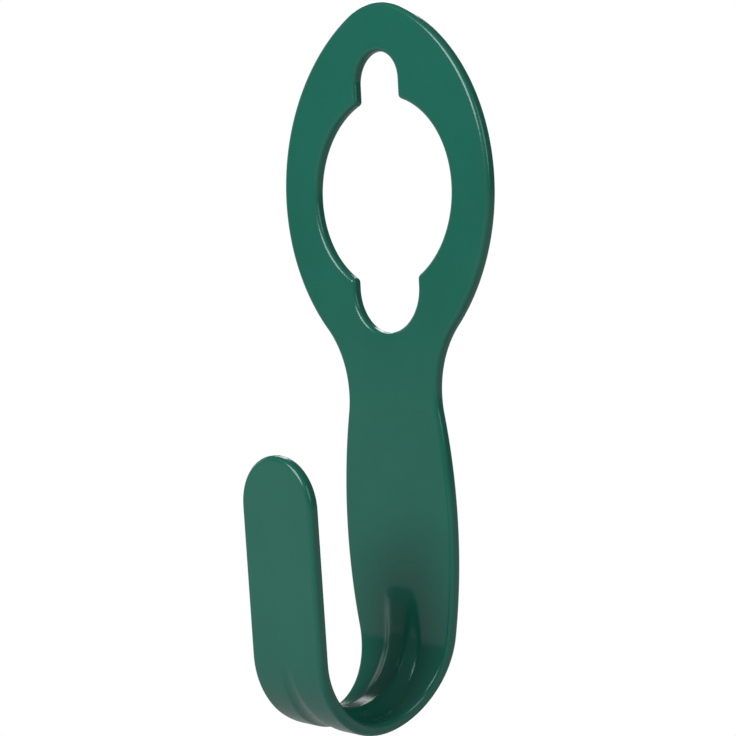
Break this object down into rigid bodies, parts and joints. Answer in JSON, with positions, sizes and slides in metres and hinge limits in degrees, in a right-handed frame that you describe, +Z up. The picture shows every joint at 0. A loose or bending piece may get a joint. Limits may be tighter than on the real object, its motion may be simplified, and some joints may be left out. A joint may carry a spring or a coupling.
{
  "type": "hose hanger",
  "caption": "Keyhole plate that drops over a garden tap, with a strap below it bent up into an open hook for a coiled hose.",
  "frame": {"origin": "centre of the round seat at the top of the keyhole, on the plate's back face, where the tap's neck holds the hanger up", "axes": "+Z up along the strap, +Y out of the back face towards the wall, +X across; the hook reaches towards -Y"},
  "size_m": [0.1226, 0.0723, 0.2999],
  "materials": {
    "green_plastic": "moulded green plastic, satin to semi-gloss"
  },
  "bodies": {
    "root": {"hose_hanger": "green_plastic"}
  },
  "joints": []
}
